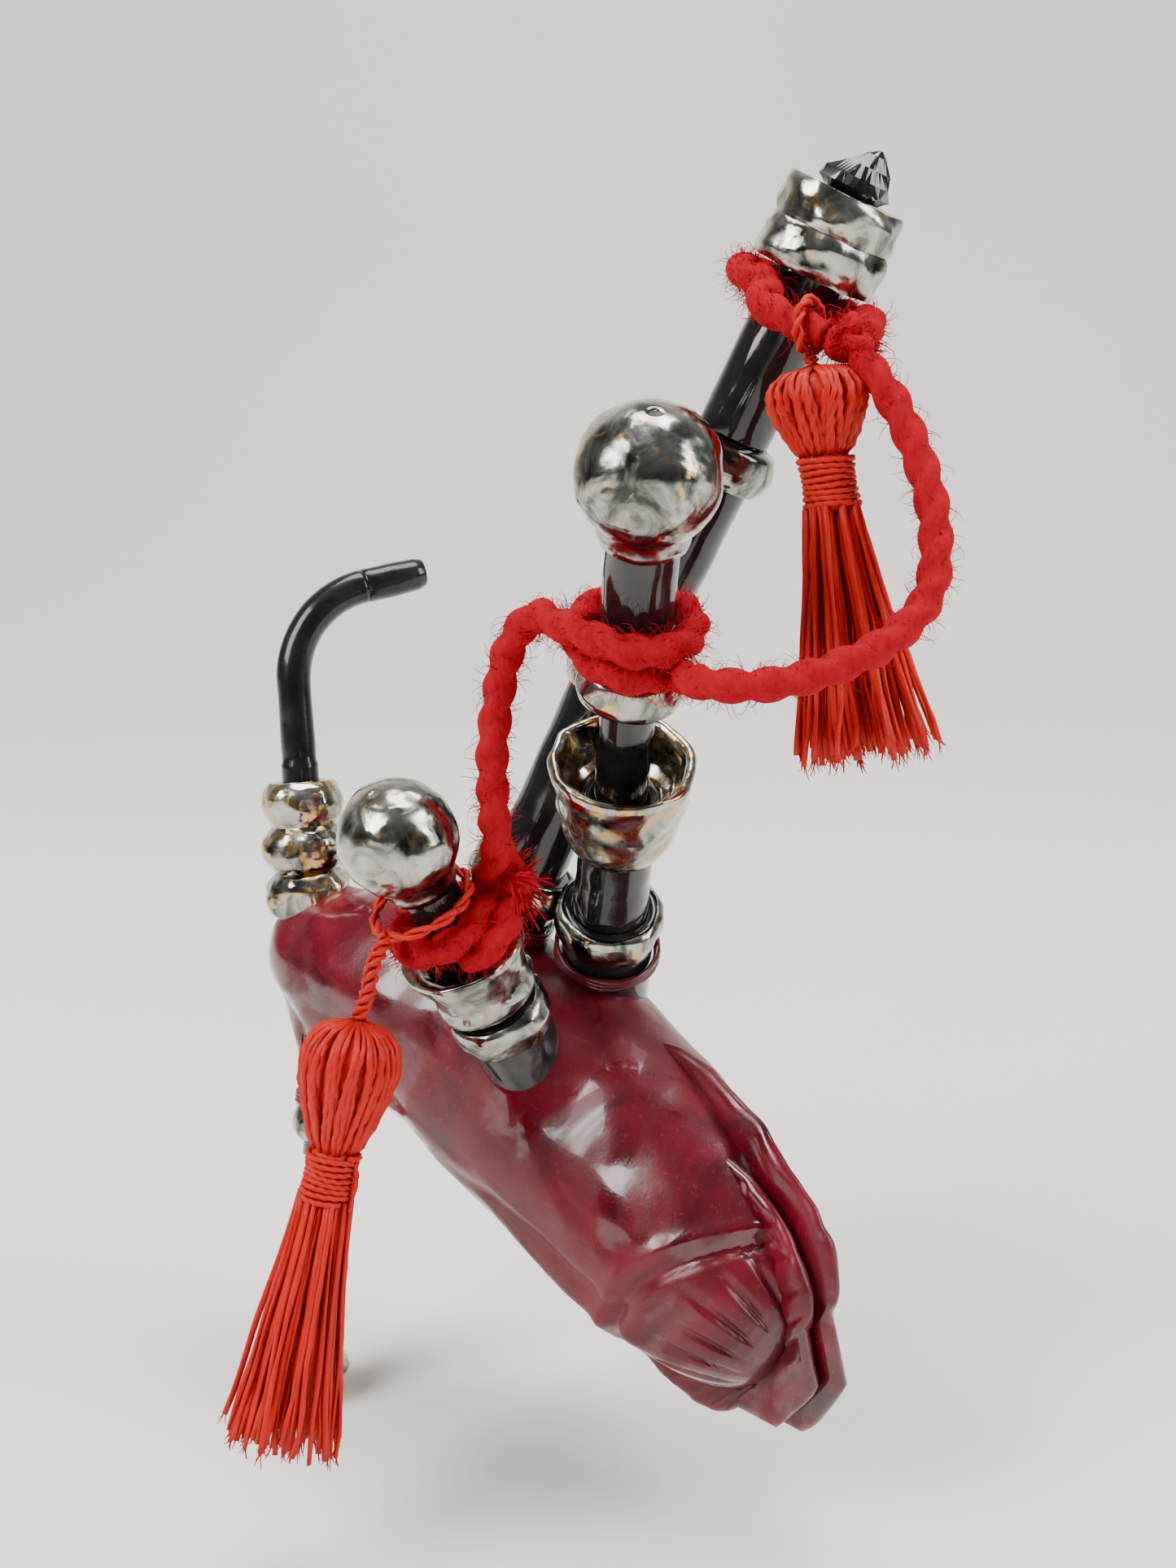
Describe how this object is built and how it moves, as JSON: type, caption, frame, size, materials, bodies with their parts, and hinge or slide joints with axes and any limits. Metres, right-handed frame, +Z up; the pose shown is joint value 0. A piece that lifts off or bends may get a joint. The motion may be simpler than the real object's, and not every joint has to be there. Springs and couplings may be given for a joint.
{
  "type": "miniature bagpipes",
  "caption": "Miniature set of Highland bagpipes: a crimson air bag with black pipes, silver-tipped drones, curved blowpipe, chanter, red yarn drone cord and two scarlet tassels.",
  "frame": {"origin": "the point on the bag's outer face where the piper's upper arm presses, at mount arm_hold", "axes": "+X to the viewer's right, +Y away from the viewer and towards the piper's body, +Z up"},
  "size_m": [0.0604, 0.0544, 0.1091],
  "materials": {
    "crimson_glaze": "gloss",
    "black_glaze": "gloss",
    "platinum_lustre": "polished",
    "crimson_yarn": "matte",
    "scarlet_floss": "satin",
    "hemp_thread": "matte",
    "cane": "satin",
    "leather_flap": "matte"
  },
  "bodies": {
    "bag_and_stocks": {"bag": "crimson_glaze", "bag_seam_front": "crimson_glaze", "bag_seam_rear": "crimson_glaze", "stock_ties": "crimson_glaze", "bass_stock": "black_glaze", "outer_tenor_stock": "black_glaze", "front_tenor_stock": "black_glaze", "blowpipe_stock": "platinum_lustre", "chanter_stock": "black_glaze", "bass_stock_ring": "platinum_lustre", "outer_tenor_stock_ring": "platinum_lustre", "front_tenor_stock_ring": "platinum_lustre", "chanter_stock_ring": "platinum_lustre", "drone_cord": "crimson_yarn", "cord_top_knot": "crimson_yarn", "cord_front_knot": "crimson_yarn"},
    "bass_lower": {"bass_reed": "cane", "bass_lower_section": "black_glaze", "bass_lower_mount": "platinum_lustre"},
    "bass_middle": {"bass_middle_section": "black_glaze", "bass_middle_ferrule": "platinum_lustre", "bass_middle_hemp": "hemp_thread"},
    "bass_top": {"bass_top_section": "black_glaze", "bass_top_hemp": "hemp_thread", "bass_cap": "platinum_lustre", "bass_finial": "black_glaze"},
    "outer_lower": {"outer_tenor_reed": "cane", "outer_tenor_lower_section": "black_glaze", "outer_tenor_cup": "platinum_lustre"},
    "outer_upper": {"outer_tenor_upper_section": "black_glaze", "outer_tenor_ferrule": "platinum_lustre", "outer_tenor_hemp": "hemp_thread", "outer_tenor_ball": "platinum_lustre"},
    "front_lower": {"front_tenor_reed": "cane", "front_tenor_lower_section": "black_glaze", "front_tenor_cup": "platinum_lustre"},
    "front_upper": {"front_tenor_upper_section": "black_glaze", "front_tenor_hemp": "hemp_thread", "front_tenor_ball": "platinum_lustre"},
    "blowpipe_tube": {"blowpipe": "black_glaze", "blowpipe_mouthpiece": "black_glaze", "blowpipe_hemp": "hemp_thread"},
    "valve": {"blowpipe_valve": "leather_flap"},
    "chanter_pipe": {"chanter": "black_glaze", "chanter_sole": "platinum_lustre", "chanter_hemp": "hemp_thread", "chanter_reed": "cane"},
    "front_loop": {"front_tassel_loop": "scarlet_floss"},
    "front_tassel": {"front_tassel_head": "scarlet_floss", "front_tassel_binding": "scarlet_floss", "front_tassel_skirt": "scarlet_floss"},
    "bass_loop": {"bass_tassel_loop": "scarlet_floss"},
    "bass_tassel": {"bass_tassel_head": "scarlet_floss", "bass_tassel_binding": "scarlet_floss", "bass_tassel_skirt": "scarlet_floss"}
  },
  "joints": [
    {"name": "bass_swivel", "type": "hinge", "parent": "bag_and_stocks", "child": "bass_lower", "pos_m": [-0.014, 0.02, 0.018], "axis": [0.4195, -0.0968, 0.9026], "range_deg": [-30, 30]},
    {"name": "bass_middle_slide", "type": "slide", "parent": "bass_lower", "child": "bass_middle", "axis": [0.4195, -0.0968, 0.9026], "range_m": [0, 0.004]},
    {"name": "bass_top_slide", "type": "slide", "parent": "bass_middle", "child": "bass_top", "axis": [0.4195, -0.0968, 0.9026], "range_m": [0, 0.004]},
    {"name": "outer_tenor_swivel", "type": "hinge", "parent": "bag_and_stocks", "child": "outer_lower", "pos_m": [-0.0034, 0.0186, 0.016], "axis": [0.0868, -0.4924, 0.866], "range_deg": [-30, 30]},
    {"name": "outer_tenor_slide", "type": "slide", "parent": "outer_lower", "child": "outer_upper", "axis": [0.0868, -0.4924, 0.866], "range_m": [-0.005, 0]},
    {"name": "front_tenor_swivel", "type": "hinge", "parent": "bag_and_stocks", "child": "front_lower", "pos_m": [-0.0101, 0.0097, 0.0126], "axis": [-0.3406, -0.4059, 0.848], "range_deg": [-30, 30]},
    {"name": "front_tenor_slide", "type": "slide", "parent": "front_lower", "child": "front_upper", "axis": [-0.3406, -0.4059, 0.848], "range_m": [0, 0.003]},
    {"name": "blowpipe_swivel", "type": "hinge", "parent": "bag_and_stocks", "child": "blowpipe_tube", "pos_m": [-0.0315, 0.028, 0.012], "axis": [-0.0734, 0.1574, 0.9848], "range_deg": [-20, 20]},
    {"name": "valve_flap", "type": "hinge", "parent": "blowpipe_tube", "child": "valve", "pos_m": [-0.03154, 0.02808, 0.02114], "axis": [-0.9063, -0.4226, 0], "range_deg": [0, 60]},
    {"name": "chanter_swivel", "type": "hinge", "parent": "bag_and_stocks", "child": "chanter_pipe", "pos_m": [-0.0287, 0.0245, 0.0066], "axis": [-0.0711, -0.1954, -0.9781], "range_deg": [-25, 25]},
    {"name": "front_loop_swing", "type": "hinge", "parent": "bag_and_stocks", "child": "front_loop", "pos_m": [-0.0101, 0.0097, 0.0126], "axis": [-0.3406, -0.4059, 0.848], "range_deg": [-10, 10]},
    {"name": "front_tassel_swing", "type": "hinge", "parent": "front_loop", "child": "front_tassel", "pos_m": [-0.0215, -0.0025, 0.0192], "axis": [0.682, -0.7314, 0], "range_deg": [-15, 15]},
    {"name": "bass_loop_swing", "type": "hinge", "parent": "bag_and_stocks", "child": "bass_loop", "pos_m": [0.0127, 0.0048, 0.0721], "axis": [-0.8403, 0.4301, 0.3301], "range_deg": [-4, 3]},
    {"name": "bass_tassel_swing", "type": "hinge", "parent": "bass_loop", "child": "bass_tassel", "pos_m": [0.013, 0.0042, 0.0693], "axis": [0.5592, 0.829, 0], "range_deg": [-2, 12]}
  ]
}
